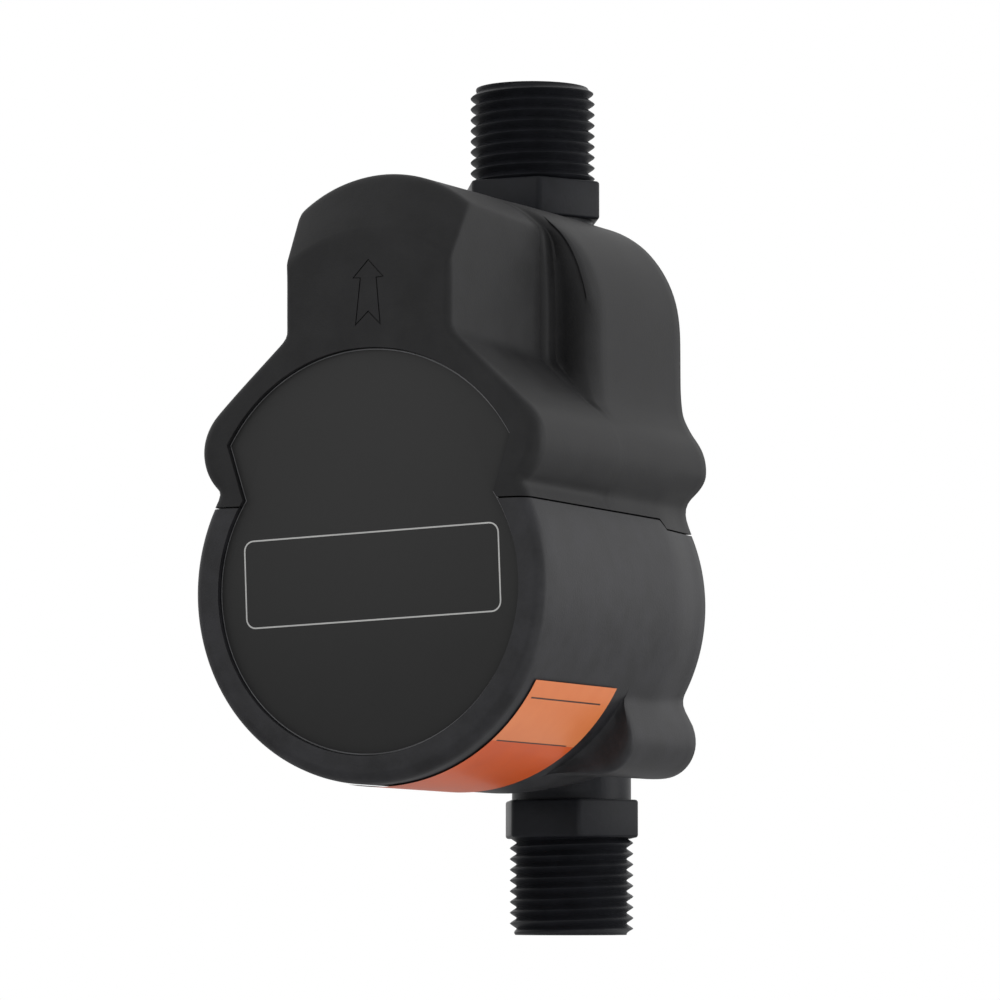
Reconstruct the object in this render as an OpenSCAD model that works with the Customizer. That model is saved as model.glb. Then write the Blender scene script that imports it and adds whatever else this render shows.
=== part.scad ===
// Inline booster pump for a shower: a brushless motor with a canned rotor and its control
// board in a moulded casing, and the pump head with its two threaded ports at the back.
// The origin is the centre of the inlet port's end. X runs right, Y back and Z up.

/* [Ports] */
// Distance from the inlet port's end to the outlet port's end
port_span = 142.3; // [135:0.1:160]
// How far the inlet's axis lies behind the outlet's
inlet_back = 15.4; // [14:0.1:18]
// Outside diameter of the pipe thread
thread_d = 20.955; // [20.4:0.005:21.4]
// Distance from one thread crest to the next
thread_pitch = 1.814; // [1.5:0.001:1.9]
// Depth of the thread
thread_depth = 1.162; // [0.8:0.001:1.3]
// Crests on each port
thread_crests = 9; // [6:1:9]
// Width across the flats of each port's hexagon
hex_flats = 21.5; // [20.6:0.1:22]
// Height of each hexagon
hex_h = 6.4; // [5:0.1:6.4]
// Outside diameter of the pipes behind the hexagons
pipe_d = 20.2; // [19.4:0.1:20.4]
// Bore of the two ports
port_bore_d = 15; // [12:0.1:15.6]

/* [Casing] */
// Height of the motor's axis above the inlet port's end
axis_h = 54.2; // [53.8:0.1:58]
// Diameter of the drum round the motor
drum_d = 62.4; // [60:0.1:62.8]
// Depth of the casing from its front rim to its back edge
casing_depth = 66.9; // [62:0.1:75]
// How far the casing's back edge lies behind the outlet's axis
casing_behind = 4.8; // [4.4:0.1:4.8]
// Wall thickness of the casing
wall = 2.4; // [1.8:0.1:2.6]
// Height of the seam between the casings above the motor's axis
seam_rise = 13.7; // [12:0.1:15]
// Width of the neck that stands over the front
neck_w = 29.4; // [26:0.1:31]
// Height of the neck's top above the motor's axis
neck_rise = 66.8; // [65.8:0.1:68]
// Width of the hood behind the neck
hood_w = 51; // [48:0.1:54]
// Height of the hood's top above the motor's axis
hood_rise = 65.1; // [62:0.1:65.2]
// Depth of the hood from front to back
hood_depth = 37.8; // [35:0.1:42]
// Radius of the hood's two top corners
hood_corner_r = 19; // [14:0.1:20]
// Radius of the shoulders beside the drum
shoulder_r = 8.1; // [7.6:0.1:8.6]
// Radius of the two lobes under the drum
lobe_r = 6.2; // [6:0.1:6.8]
// Depth of the lobes from front to back
lobe_depth = 26.8; // [20:0.1:30]

/* [Labels] */
// Diameter of the round part of the front plate
plate_d = 53; // [50:0.1:54]
// Radius of the front plate's top arc
plate_top_r = 28.7; // [27:0.1:31]
// Thickness of the front plate
plate_t = 0.4; // [0.2:0.1:0.8]
// Depth of the recess that holds the front plate
plate_recess = 1.2; // [0.8:0.1:1.4]
// Width of the seal label along the drum
seal_w = 30.7; // [20:0.1:34]
// Angle of the drum that the seal label covers
seal_angle = 71.5; // [30:0.5:80]

/* [Pump head] */
// Radius of the impeller
impeller_r = 14.8; // [13:0.1:15.2]
// Number of impeller vanes
vanes = 6; // [4:1:8]
// Radius of the round pump chamber
chamber_r = 16.6; // [16.2:0.1:16.8]
// Depth of the pump chamber
chamber_depth = 11.8; // [11.4:0.1:12.2]
// Radius of the pump body's back, and of the suction cover
head_r = 26; // [25.6:0.1:26.2]
// Thickness of the suction cover's plate
cover_t = 3; // [2.4:0.1:3.4]
// Bore of the chamber that the flow switch's float rises in
float_bore_d = 14; // [13:0.1:14.4]
// Travel of the flow switch's float
float_travel = 8; // [4:0.1:9]

/* [Motor] */
// Diameter of the ceramic shaft
shaft_d = 5; // [4:0.1:5.4]
// Diameter of the rotor's magnet
magnet_d = 23; // [20:0.1:23.2]
// Length of the rotor's magnet
magnet_len = 26; // [18:0.1:26.4]
// Inside diameter of the can that keeps the water off the windings
can_bore_d = 24.4; // [24:0.1:25]
// Diameter of the stator
stator_d = 52; // [48:0.1:53]
// Length of the stator's stack
stator_len = 24; // [18:0.1:24.4]
// Teeth of the stator, each with its own coil
teeth = 9; // [6:3:9]

/* [Hidden] */

$fn = 96;
arc_steps = 24;
over = 0.5;
fit = 0.2;
running = 0.03;

outlet_y = -inlet_back;
back_y = outlet_y + casing_behind;
front_y = back_y - casing_depth;
hood_y = back_y - hood_depth;
lobe_y = back_y - lobe_depth;
seam_z = axis_h + seam_rise;
drum_r = drum_d / 2;
pipe_r = pipe_d / 2;
thread_r = thread_d / 2;
thread_len = thread_crests * thread_pitch;
thread_flat = thread_pitch / 6;
port_bore_r = port_bore_d / 2;

casing_color = "#26272a";
head_color = "#1e1f24";
rubber_color = "#3a3a3a";
steel_color = "#b9bcc0";
board_color = "#2f6b3a";

// Corners of the casing where the screws stand, and its small forms
boss_x = 22.1;
boss_rise = 22.6;
flare_angle = 47;
cap_r = 23.5;
tuck = 0.4;
front_wall = 3.8;
seam_step = 1.6;
seam_step_len = 15.4;
slope_rise = 9.9;
slope_run = 6;
lobe_wall = 1.3;
lobe_root_angles = [-32, -66];
screw_r = 1.7;
screw_head_r = 3;
screw_head_h = 2;
screw_slot_w = 0.8;
screw_slot_depth = 1;
screw_slot_share = 0.6;
screw_ring_angle = 45;
boss_len = 14.7;

// Front plate: its top arc's height, its two corners and the notches below them
plate_top_rise = 38.2;
plate_corner = [25, 23.9];
plate_notch = [22.6, 14.6];

// Engraved arrow on the neck, from its tip down
arrow_tip_rise = 52.4;
arrow_len = 10.6;
arrow_head_w = 5.8;
arrow_head_len = 3;
arrow_tail_w = 4.6;
arrow_notch = 2.2;
arrow_waist_w = 3.2;
arrow_depth = 0.5;

// Seal label: its front edge behind the casing's rim, and the angle where it starts
seal_inset = 4.6;
seal_start = -28.5;
seal_t = 0.2;

// Pump head along the motor's axis
body_wall = 2.6;
body_y = back_y - chamber_depth - body_wall;
body_r = 27.8;
ear_r = 4.4;
ear_t = 3;
rear_cover_t = 2.2;
ear_y = back_y - rear_cover_t - ear_t;
volute_r = 17;
volute_shift = 0.9;
throat_r = 4.2;
throat_inset = 0.4;
throat_start = [11.5, 7.8];
float_floor_rise = 29.8;
float_bore_len = 28;
pipe_root_rise = 26.4;
elbow_bore_r = 7;
inlet_bore_len = 34;
spider_hub_r = 4;
spider_reach = 4.1;
spider_ribs = 3;
spider_rib_w = 1.6;
shaft_seat = 5.7;
oring_t = 1.4;
oring_slack = 0.2;
cover_oring_r = 19.9;
can_oring_r = 17;
cover_screw_ring = 23.2;
cover_screw_count = 4;
cover_screw_r = 1.3;
cover_screw_head_r = 2.3;
cover_screw_head_h = 2;
cover_screw_len = 10;
reed_r = 1.1;
reed_len = 14;
reed_rise = 37;
reed_holder_w = 5;
reed_holder_depth = 3.6;

// Can, shaft, bushes and rotor along the motor's axis
can_wall = 1;
can_flange_r = 26.5;
can_flange_t = 2.5;
can_y = body_y - can_flange_t;
can_len = 37.2;
can_end_y = body_y - can_len;
can_socket_r = 5;
can_socket_len = 4.8;
can_screw_ring = 24.2;
can_screw_count = 4;
can_screw_r = 1.2;
can_screw_head_r = 2;
can_screw_head_h = 1.8;
can_screw_len = 7.5;
washer_t = 0.8;
washer_r = 4.8;
end_play = 0.15;
bush_r = 4.6;
bush_len = 7;
shaft_r = shaft_d / 2;
socket_y = can_end_y + can_socket_len;
spider_y = back_y - spider_reach;
front_bush_y = socket_y + washer_t + end_play;
rear_bush_y = spider_y - washer_t - end_play - bush_len;
hub_r = 6.8;
hub_flange_t = 1.2;
impeller_gap = 0.5;
impeller_y = body_y + body_wall + impeller_gap;
shroud_t = 1.6;
vane_h = 6.6;
vane_t = 1.4;
vane_sweep = 35;
eye_r = 7.6;
impeller_hub_r = 6.2;
magnet_y = front_bush_y;
shaft_gap_r = 3.4;
vane_root_r = 7.4;

// Stator and windings
stator_y = can_end_y + 4.2;
yoke_t = 4.2;
tooth_w = 4.4;
tooth_tip_t = 1.4;
tooth_tip_w = 7.4;
tooth_fit = 0.2;
insulator_t = 0.5;
coil_t = 1.9;
coil_inner_r = 16;
coil_len = 5;
insulator_lip = 1;
winding_board_t = 1.4;
winding_board_r = 25;
winding_board_gap = 0.3;
lead_r = 0.8;
lead_pitch = 3.2;
lead_start_rise = 22;
lead_bow = 3.8;

// Control board, its parts and its screws
board_w = 41;
board_h = 20.8;
board_rise = 33;
board_t = 1.6;
board_standoff = 4.4;
board_y = hood_y + wall + board_standoff;
board_post_r = 2.6;
board_screw = [17.4, 3, 17.6];
board_screw_r = 1;
board_screw_head_r = 1.9;
board_screw_head_h = 1.4;
board_screw_len = 4.6;
socket_size = [10.6, 5.4, 4.6];
socket_rise = 35.8;
capacitor_r = 4.2;
capacitor_len = 16;
capacitor_x = 5.2;
capacitor_rise = 47.4;
transistors = 6;
transistor_size = [4.2, 2.2, 5.4];
transistor_pitch = 5.2;
transistor_rise = 36.2;
choke_r = 4.2;
choke_len = 6.4;
choke_x = 11;
choke_rise = 47;
chip_size = [7, 1, 7];
chip_rise = 45.4;

// Flow switch
float_r = 4.9;
float_len = 13;
float_ribs = 4;
float_rib_w = 1.4;
float_gap = 0.1;
float_lift = 0.1;
float_magnet_r = 3.2;
float_magnet_len = 8;
float_floor_t = 3;
stop_r = 6.2;
stop_h = 2.4;

// Cable gland
gland_x = -16.8;
gland_rise = 43.8;
gland_neck_r = 4.2;
gland_flange_r = 5.6;
gland_lip = 2;
gland_nose = 3;
gland_nose_r = 4.4;
gland_bore_r = 2.9;

float_bore_r = float_bore_d / 2;
float_floor_z = axis_h + float_floor_rise;
float_z = float_floor_z + float_lift;
reed_y = outlet_y - pipe_r - reed_holder_depth / 2;

// Points on an arc about a centre, from one angle to another
function arc(x, z, r, from, to) =
    [for (i = [0:arc_steps])
        let (a = from + (to - from) * i / arc_steps) [x + r * cos(a), z + r * sin(a)]];

// A flat outline in X and Z, made thick between two places along Y
module slab(from, to) {
    translate([0, to, 0]) rotate([90, 0, 0]) linear_extrude(to - from) children();
}

// A round bar along Y, set by default on the motor's axis
module bar(r, from, to, x = 0, z = axis_h) {
    translate([x, to, z]) rotate([90, 0, 0]) cylinder(h = to - from, r = r);
}

// A shape turned about an axis along Y: each point gives a radius and a place along Y
module turned(points, x = 0, z = axis_h) {
    translate([x, 0, z]) rotate([90, 0, 0])
        rotate_extrude() polygon([for (p = points) [p[0], -p[1]]]);
}

// Copies at the four corners of the casing; side 1 and -1 pick right and left
module corners(rises = [1, -1]) {
    for (side = [1, -1], rise = rises)
        translate([side * boss_x, 0, axis_h + rise * boss_rise]) children();
}

// The drum and the two shoulders, t inside the outer face
module drum_outline(t) {
    translate([0, axis_h]) {
        circle(drum_r - t);
        for (side = [1, -1])
            translate([side * boss_x, boss_rise]) circle(shoulder_r - t);
    }
}

// Outline of the neck and of the flare down to the shoulders, t inside the outer face
module neck_outline(t) {
    half = neck_w / 2 - t;
    foot = [boss_x + (shoulder_r - t - tuck) * cos(flare_angle),
            axis_h + boss_rise + (shoulder_r - t - tuck) * sin(flare_angle)];
    bend_z = foot[1] + (foot[0] - half) / tan(flare_angle);
    cap_z = axis_h + neck_rise - cap_r;
    cap_angle = asin(half / (cap_r - t));
    right = concat(arc(0, cap_z, cap_r - t, 90, 90 - cap_angle),
                   [[half, bend_z], foot, [boss_x, axis_h + boss_rise], [boss_x, seam_z]]);
    polygon(concat(right, [for (i = [len(right) - 1:-1:1]) [-right[i][0], right[i][1]]]));
}

// Outline of the hood down to the shoulders, t inside the outer face
module hood_outline(t) {
    half = hood_w / 2 - t;
    foot_z = axis_h + boss_rise + (shoulder_r - t - tuck) * sin(flare_angle);
    foot_x = boss_x + (shoulder_r - t - tuck) * cos(flare_angle);
    bend_z = foot_z + (foot_x - half) / tan(flare_angle);
    right = concat(arc(hood_w / 2 - hood_corner_r, axis_h + hood_rise - hood_corner_r,
                       hood_corner_r - t, 90, 0),
                   [[half, bend_z], [foot_x, foot_z], [boss_x, axis_h + boss_rise],
                    [boss_x, seam_z]]);
    polygon(concat(right, [for (i = [len(right) - 1:-1:0]) [-right[i][0], right[i][1]]]));
}

// The slope that cuts the neck's top front edge, t inside the outer face
module neck_slope(t) {
    shift = t * norm([slope_rise, slope_run]) / slope_run;
    top = axis_h + neck_rise + over;
    foot_z = axis_h + neck_rise - slope_rise - shift;
    grade = slope_rise / slope_run;
    translate([-hood_w, 0, 0]) rotate([90, 0, 90]) linear_extrude(2 * hood_w)
        polygon([[front_y - over, foot_z - over * grade],
                 [front_y + (top - foot_z) / grade, top],
                 [front_y - over, top]]);
}

// The casing's whole form, t inside its outer face, open behind where it is hollow
module casing_form(t) {
    skin = t > 0 ? front_wall : 0;
    behind = t > 0 ? over : 0;
    difference() {
        slab(front_y + skin, hood_y + t) {
            drum_outline(t);
            neck_outline(t);
        }
        neck_slope(t);
    }
    slab(hood_y + t, back_y + behind) {
        drum_outline(t);
        hood_outline(t);
    }
}

// Everything below the seam, which steps down towards the back
module below_seam() {
    translate([-hood_w, 0, 0]) rotate([90, 0, 90]) linear_extrude(2 * hood_w)
        polygon([[front_y - over, -over], [back_y + 2 * over, -over],
                 [back_y + 2 * over, seam_z - seam_step],
                 [back_y - seam_step_len + seam_step, seam_z - seam_step],
                 [back_y - seam_step_len, seam_z], [front_y - over, seam_z]]);
}

// Outline of the two lobes, each drawn out of the drum towards its screw
module lobe_outline(t) {
    for (side = [1, -1]) {
        translate([side * boss_x, axis_h - boss_rise]) circle(lobe_r - t);
        if (t == 0)
            polygon([for (p = [[0, axis_h],
                               [drum_r * cos(lobe_root_angles[0]),
                                axis_h + drum_r * sin(lobe_root_angles[0])],
                               [boss_x + lobe_r, axis_h - boss_rise],
                               [boss_x, axis_h - boss_rise - lobe_r],
                               [drum_r * cos(lobe_root_angles[1]),
                                axis_h + drum_r * sin(lobe_root_angles[1])]])
                        [side * p[0], p[1]]]);
    }
}

// Outline of the four ears that carry the pump body, grown by a clearance
module ear_outline(grow, rises = [1, -1]) {
    for (side = [1, -1], rise = rises) {
        turn = atan2(rise * boss_rise, side * boss_x);
        translate([0, axis_h]) rotate(turn)
            translate([chamber_r, tuck - ear_r - grow])
                square([norm([boss_x, boss_rise]) - chamber_r, 2 * (ear_r + grow - tuck)]);
        translate([side * boss_x, axis_h + rise * boss_rise]) circle(ear_r + grow);
    }
}

// Outline of the front plate, grown by a clearance
module plate_outline(grow) {
    translate([0, axis_h]) {
        circle(plate_d / 2 + grow);
        intersection() {
            translate([0, plate_top_rise - plate_top_r]) circle(plate_top_r + grow);
            polygon([[plate_notch[0] + grow, plate_notch[1]],
                     [plate_corner[0] + grow, plate_corner[1]],
                     [plate_corner[0] + grow, plate_top_rise + 2 * grow],
                     [-plate_corner[0] - grow, plate_top_rise + 2 * grow],
                     [-plate_corner[0] - grow, plate_corner[1]],
                     [-plate_notch[0] - grow, plate_notch[1]]]);
        }
    }
}

module arrow_outline() {
    translate([0, axis_h + arrow_tip_rise])
        polygon([[0, 0], [arrow_head_w / 2, -arrow_head_len],
                 [arrow_waist_w / 2, -arrow_head_len],
                 [arrow_tail_w / 2, -arrow_len], [0, arrow_notch - arrow_len],
                 [-arrow_tail_w / 2, -arrow_len], [-arrow_waist_w / 2, -arrow_head_len],
                 [-arrow_head_w / 2, -arrow_head_len]]);
}

// The solid bosses that the casing screws bite into, kept outside the motor's space
module screw_bosses(r, rise) {
    difference() {
        corners([rise]) translate([0, 0, -axis_h]) bar(r, ear_y - fit - boss_len, ear_y - fit);
        bar(body_r + fit, front_y, back_y + over);
    }
}

module screw_holes(rises) {
    corners(rises) translate([0, 0, -axis_h]) bar(screw_r, ear_y - boss_len, back_y + over);
}

module upper_casing() {
    color(casing_color) difference() {
        union() {
            difference() {
                casing_form(0);
                casing_form(wall);
            }
            screw_bosses(shoulder_r - wall + over, 1);
            for (side = [1, -1], rise = [board_screw[1], board_screw[2]])
                bar(board_post_r, hood_y + wall - over, board_y,
                    side * board_screw[0], axis_h + board_rise + rise);
        }
        below_seam();
        slab(front_y - over, front_y + plate_recess) plate_outline(fit);
        slab(front_y - over, front_y + arrow_depth) arrow_outline();
        screw_holes([1]);
        for (side = [1, -1], rise = [board_screw[1], board_screw[2]])
            bar(board_screw_r, board_y + board_t - board_screw_len, board_y + over,
                side * board_screw[0], axis_h + board_rise + rise);
        translate([0, outlet_y, axis_h + boss_rise])
            cylinder(h = neck_rise, r = pipe_r + fit);
        translate([-pipe_r - fit, outlet_y, axis_h + hood_rise - 2 * wall])
            cube([2 * (pipe_r + fit), casing_behind + over, 3 * wall]);
    }
}

module lower_casing() {
    color(casing_color) difference() {
        union() {
            intersection() {
                slab(front_y, back_y) drum_outline(0);
                below_seam();
            }
            slab(lobe_y, back_y) lobe_outline(0);
        }
        slab(front_y + front_wall, back_y + over) drum_outline(wall);
        slab(ear_y - fit, back_y + over) ear_outline(lobe_r - lobe_wall - ear_r, [-1]);
        slab(front_y - over, front_y + plate_recess) plate_outline(fit);
        screw_holes([-1]);
    }
}

module rear_cover() {
    color(casing_color) difference() {
        union() {
            bar(drum_r - wall - fit, back_y - rear_cover_t, back_y);
            slab(back_y - rear_cover_t, back_y)
                ear_outline(lobe_r - lobe_wall - ear_r - fit, [-1]);
            corners([1]) translate([0, 0, -axis_h])
                bar(shoulder_r - wall - fit, back_y - rear_cover_t, back_y);
            slab(back_y - rear_cover_t, back_y) hood_outline(wall + fit);
        }
        bar(head_r + fit, back_y - rear_cover_t - over, back_y + over);
        translate([-pipe_r - fit, back_y - rear_cover_t - over, axis_h])
            cube([2 * (pipe_r + fit), rear_cover_t + 2 * over, hood_rise]);
        screw_holes([1, -1]);
        bar(gland_neck_r, back_y - rear_cover_t - over, back_y + over,
            gland_x, axis_h + gland_rise);
    }
}

module front_plate() {
    color("#141416")
        slab(front_y + plate_recess - plate_t, front_y + plate_recess) plate_outline(0);
}

// A thin label wrapped on the drum's lower right side and under it
module seal_label() {
    color("#e5793f")
        translate([0, front_y + seal_inset + seal_w, axis_h]) rotate([90, 0, 0])
            rotate([0, 0, seal_start - seal_angle])
                rotate_extrude(angle = seal_angle)
                    translate([drum_r, 0]) square([seal_t, seal_w]);
}

// A threaded end standing up from z = 0, its crests and roots with small flats
module threaded_end() {
    root_r = thread_r - thread_depth;
    rotate_extrude()
        polygon(concat([[0, 0], [root_r, 0]],
                       [for (i = [0:thread_crests - 1],
                             p = [[root_r, thread_flat / 2],
                                  [thread_r, (thread_pitch - thread_flat) / 2],
                                  [thread_r, (thread_pitch + thread_flat) / 2],
                                  [root_r, thread_pitch - thread_flat / 2]])
                           [p[0], i * thread_pitch + p[1]]],
                       [[root_r, thread_len], [0, thread_len]]));
}

// A port seen from its open end: thread, hexagon and pipe, as far as the pipe runs
module port(pipe_len) {
    threaded_end();
    translate([0, 0, thread_len])
        cylinder(h = hex_h, d = hex_flats / cos(30), $fn = 6);
    translate([0, 0, thread_len + hex_h - fit]) cylinder(h = pipe_len + fit, r = pipe_r);
}

module pump_body() {
    pipe_root_z = axis_h + pipe_root_rise;
    throat = [throat_start[0], float_floor_rise - throat_start[1]];
    throat_y = body_y + body_wall + throat_inset + throat_r;
    color(head_color) difference() {
        union() {
            bar(body_r, body_y, back_y - rear_cover_t);
            bar(head_r, body_y, back_y);
            slab(ear_y, ear_y + ear_t) ear_outline(0);
            translate([0, outlet_y, port_span]) mirror([0, 0, 1])
                port(port_span - thread_len - hex_h - pipe_root_z);
            translate([-reed_holder_w / 2, outlet_y - pipe_r - reed_holder_depth,
                       axis_h + reed_rise])
                cube([reed_holder_w, reed_holder_depth + pipe_r / 4, reed_len]);
        }
        bar(chamber_r, body_y + body_wall, back_y + over);
        bar(volute_r, body_y + body_wall, back_y + over, volute_shift,
            axis_h + volute_shift);
        bar(can_bore_d / 2, body_y - over, body_y + body_wall + over);
        translate([throat_start[0], throat_y, axis_h + throat_start[1]])
            rotate([0, -atan2(throat[0], throat[1]), 0])
                cylinder(h = norm(throat) + over, r = throat_r);
        translate([0, outlet_y, float_floor_z])
            cylinder(h = float_bore_len + over, r = float_bore_r);
        translate([0, outlet_y, float_floor_z + float_bore_len])
            cylinder(h = port_span, r = port_bore_r);
        turned([[can_oring_r - oring_t / 2 - oring_slack, body_y - over],
                [can_oring_r + oring_t / 2 + oring_slack, body_y - over],
                [can_oring_r + oring_t / 2 + oring_slack, body_y + oring_t],
                [can_oring_r - oring_t / 2 - oring_slack, body_y + oring_t]]);
        turned([[cover_oring_r - oring_t / 2 - oring_slack, back_y + over],
                [cover_oring_r + oring_t / 2 + oring_slack, back_y + over],
                [cover_oring_r + oring_t / 2 + oring_slack, back_y - oring_t],
                [cover_oring_r - oring_t / 2 - oring_slack, back_y - oring_t]]);
        on_ring(cover_screw_count, cover_screw_ring)
            bar(cover_screw_r, back_y + cover_t - cover_screw_len, back_y + over, 0, 0);
        on_ring(can_screw_count, can_screw_ring)
            bar(can_screw_r, body_y - over, can_y + can_screw_len, 0, 0);
        screw_holes([1, -1]);
        translate([0, reed_y, axis_h + reed_rise - over])
            cylinder(h = reed_len + 2 * over, r = reed_r);
    }
}

// Copies on a circle about the motor's axis
module on_ring(count, r) {
    for (i = [0:count - 1])
        let (a = screw_ring_angle + 360 * i / count)
            translate([r * cos(a), 0, axis_h + r * sin(a)]) children();
}

module suction_cover() {
    color(head_color) difference() {
        union() {
            bar(head_r, back_y, back_y + cover_t);
            port(axis_h - thread_len - hex_h);
            translate([0, 0, axis_h]) sphere(pipe_r);
            bar(pipe_r, back_y, 0);
            bar(spider_hub_r, spider_y, back_y + cover_t);
        }
        translate([0, 0, -over]) cylinder(h = inlet_bore_len + over, r = port_bore_r);
        cylinder(h = axis_h, r = elbow_bore_r);
        translate([0, 0, axis_h]) sphere(elbow_bore_r);
        difference() {
            bar(elbow_bore_r, back_y - over, 0);
            bar(spider_hub_r, spider_y - over, back_y + cover_t);
            for (i = [0:spider_ribs - 1])
                translate([0, 0, axis_h]) rotate([0, 90 + 360 * i / spider_ribs, 0])
                    translate([0, back_y - over, -spider_rib_w / 2])
                        cube([pipe_r, cover_t + over, spider_rib_w]);
        }
        bar(shaft_r, spider_y - over, spider_y + shaft_seat);
        on_ring(cover_screw_count, cover_screw_ring)
            bar(cover_screw_r, back_y - over, back_y + cover_t + over, 0, 0);
    }
}

module oring(ring_r, y) {
    translate([0, y, axis_h]) rotate([90, 0, 0])
        rotate_extrude() translate([ring_r, 0]) circle(d = oring_t);
}

module cover_oring() {
    color(rubber_color) oring(cover_oring_r, back_y - oring_t / 2);
}

module can_oring() {
    color(rubber_color) oring(can_oring_r, body_y + oring_t / 2);
}

// The can: a closed tube with a flange, and inside its end the socket for the shaft
module separating_can() {
    r = can_bore_d / 2;
    color("#8b8f94") difference() {
        turned([[0, can_end_y - can_wall], [r + can_wall, can_end_y - can_wall],
                [r + can_wall, can_y], [can_flange_r, can_y], [can_flange_r, body_y],
                [r, body_y], [r, can_end_y], [can_socket_r, can_end_y],
                [can_socket_r, socket_y], [shaft_r, socket_y], [shaft_r, can_end_y],
                [0, can_end_y]]);
        on_ring(can_screw_count, can_screw_ring)
            bar(can_screw_r, can_y - over, body_y + over, 0, 0);
    }
}

module ceramic_shaft() {
    color("#f2efe6") bar(shaft_r, can_end_y, spider_y + shaft_seat);
}

module ring_bar(outer, inner, from, to) {
    turned([[inner, from], [outer, from], [outer, to], [inner, to]]);
}

module front_thrust_washer() {
    color("#f2efe6") ring_bar(washer_r, shaft_r, socket_y, socket_y + washer_t);
}

module rear_thrust_washer() {
    color("#f2efe6") ring_bar(spider_hub_r, shaft_r, spider_y - washer_t, spider_y);
}

module front_bush() {
    color("#4a4a4e") ring_bar(bush_r, shaft_r + running, front_bush_y, front_bush_y + bush_len);
}

module rear_bush() {
    color("#4a4a4e") ring_bar(bush_r, shaft_r + running, rear_bush_y, rear_bush_y + bush_len);
}

// The rotor's plastic hub: a tube under the magnet, with a flange behind it
module rotor_hub() {
    color("#d8d8d2")
        turned([[bush_r, magnet_y], [hub_r, magnet_y], [hub_r, magnet_y + magnet_len],
                [magnet_d / 2, magnet_y + magnet_len],
                [magnet_d / 2, magnet_y + magnet_len + hub_flange_t],
                [hub_r, magnet_y + magnet_len + hub_flange_t], [hub_r, impeller_y],
                [bush_r, impeller_y], [bush_r, rear_bush_y], [shaft_gap_r, rear_bush_y],
                [shaft_gap_r, front_bush_y + bush_len],
                [bush_r, front_bush_y + bush_len]]);
}

module rotor_magnet() {
    color("#3c3c40") ring_bar(magnet_d / 2, hub_r, magnet_y, magnet_y + magnet_len);
}

// One edge of a swept vane, from the eye out to the rim
function vane_edge(side) =
    [for (i = [0:arc_steps])
        let (r = vane_root_r + (impeller_r - vane_root_r) * i / arc_steps,
             a = -vane_sweep * i / arc_steps + side * vane_t / 2 / r * 180 / PI)
        [r * cos(a), r * sin(a)]];

// A closed impeller: a back disc with the hub, swept vanes and a front disc with the eye
module impeller() {
    vane_y = impeller_y + shroud_t;
    front_disc_y = vane_y + vane_h;
    back_edge = vane_edge(-1);
    color("#d8d8d2") difference() {
        union() {
            bar(impeller_r, impeller_y, vane_y);
            bar(impeller_hub_r, impeller_y, rear_bush_y + bush_len);
            ring_bar(impeller_r, eye_r, front_disc_y, front_disc_y + shroud_t);
            for (i = [0:vanes - 1])
                slab(vane_y - over, front_disc_y + over)
                    translate([0, axis_h]) rotate(360 * i / vanes)
                        polygon(concat(vane_edge(1),
                                       [for (k = [len(back_edge) - 1:-1:0]) back_edge[k]]));
        }
        bar(bush_r, rear_bush_y, rear_bush_y + bush_len + over);
    }
}

// The stator's stack: a ring with teeth that widen at their tips
module stator_core() {
    inner = can_bore_d / 2 + can_wall + tooth_fit;
    outer = stator_d / 2;
    color("#8d9096") slab(stator_y, stator_y + stator_len) translate([0, axis_h]) {
        difference() {
            circle(outer);
            circle(outer - yoke_t);
        }
        for (i = [0:teeth - 1]) rotate(90 + 360 * i / teeth)
            difference() {
                union() {
                    translate([inner, -tooth_w / 2]) square([outer - yoke_t / 2 - inner, tooth_w]);
                    translate([0, -tooth_tip_w / 2]) square([inner + tooth_tip_t, tooth_tip_w]);
                }
                circle(inner);
            }
    }
}

// A rectangular collar round each tooth, by its inner size, wall, and reach along the tooth
module tooth_collars(clear, t, from, len) {
    half_w = tooth_w / 2 + clear;
    half_l = stator_len / 2 + clear;
    translate([0, stator_y + stator_len / 2, axis_h])
        for (i = [0:teeth - 1]) rotate([0, -90 - 360 * i / teeth, 0])
            translate([from, 0, 0]) rotate([90, 0, 90]) linear_extrude(len) difference() {
                square([2 * (half_l + t), 2 * (half_w + t)], center = true);
                square([2 * half_l, 2 * half_w], center = true);
            }
}

module slot_insulators() {
    from = coil_inner_r - insulator_t;
    color("#e9e6da") {
        tooth_collars(0, insulator_t, from, coil_len + 2 * insulator_t);
        tooth_collars(insulator_t, insulator_lip, from, insulator_t);
    }
}

module stator_coils() {
    color("#b5673a") tooth_collars(insulator_t, coil_t, coil_inner_r, coil_len);
}

// The ring board in front of the windings that joins the coils
module winding_board() {
    back = stator_y - insulator_t - coil_t - winding_board_gap;
    color(board_color) difference() {
        ring_bar(winding_board_r, can_bore_d / 2 + can_wall + tooth_fit,
                 back - winding_board_t, back);
        for (i = [-1:1])
            bar(lead_r, back - winding_board_t - over, back + over,
                i * lead_pitch, axis_h + lead_start_rise);
    }
}

// Three insulated leads from the winding board, up and back to the control board's socket
module motor_leads() {
    back = stator_y - insulator_t - coil_t - winding_board_gap;
    bow_y = back - winding_board_t - lead_bow;
    top_z = axis_h + socket_rise + socket_size[2] / 2;
    low_z = axis_h + lead_start_rise;
    color("#c03a34") for (i = [-1:1]) {
        bar(lead_r, bow_y, back, i * lead_pitch, low_z);
        translate([i * lead_pitch, bow_y, low_z]) sphere(lead_r);
        translate([i * lead_pitch, bow_y, low_z]) cylinder(h = top_z - low_z, r = lead_r);
        translate([i * lead_pitch, bow_y, top_z]) sphere(lead_r);
        bar(lead_r, bow_y, board_y - socket_size[1], i * lead_pitch, top_z);
    }
}

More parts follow.
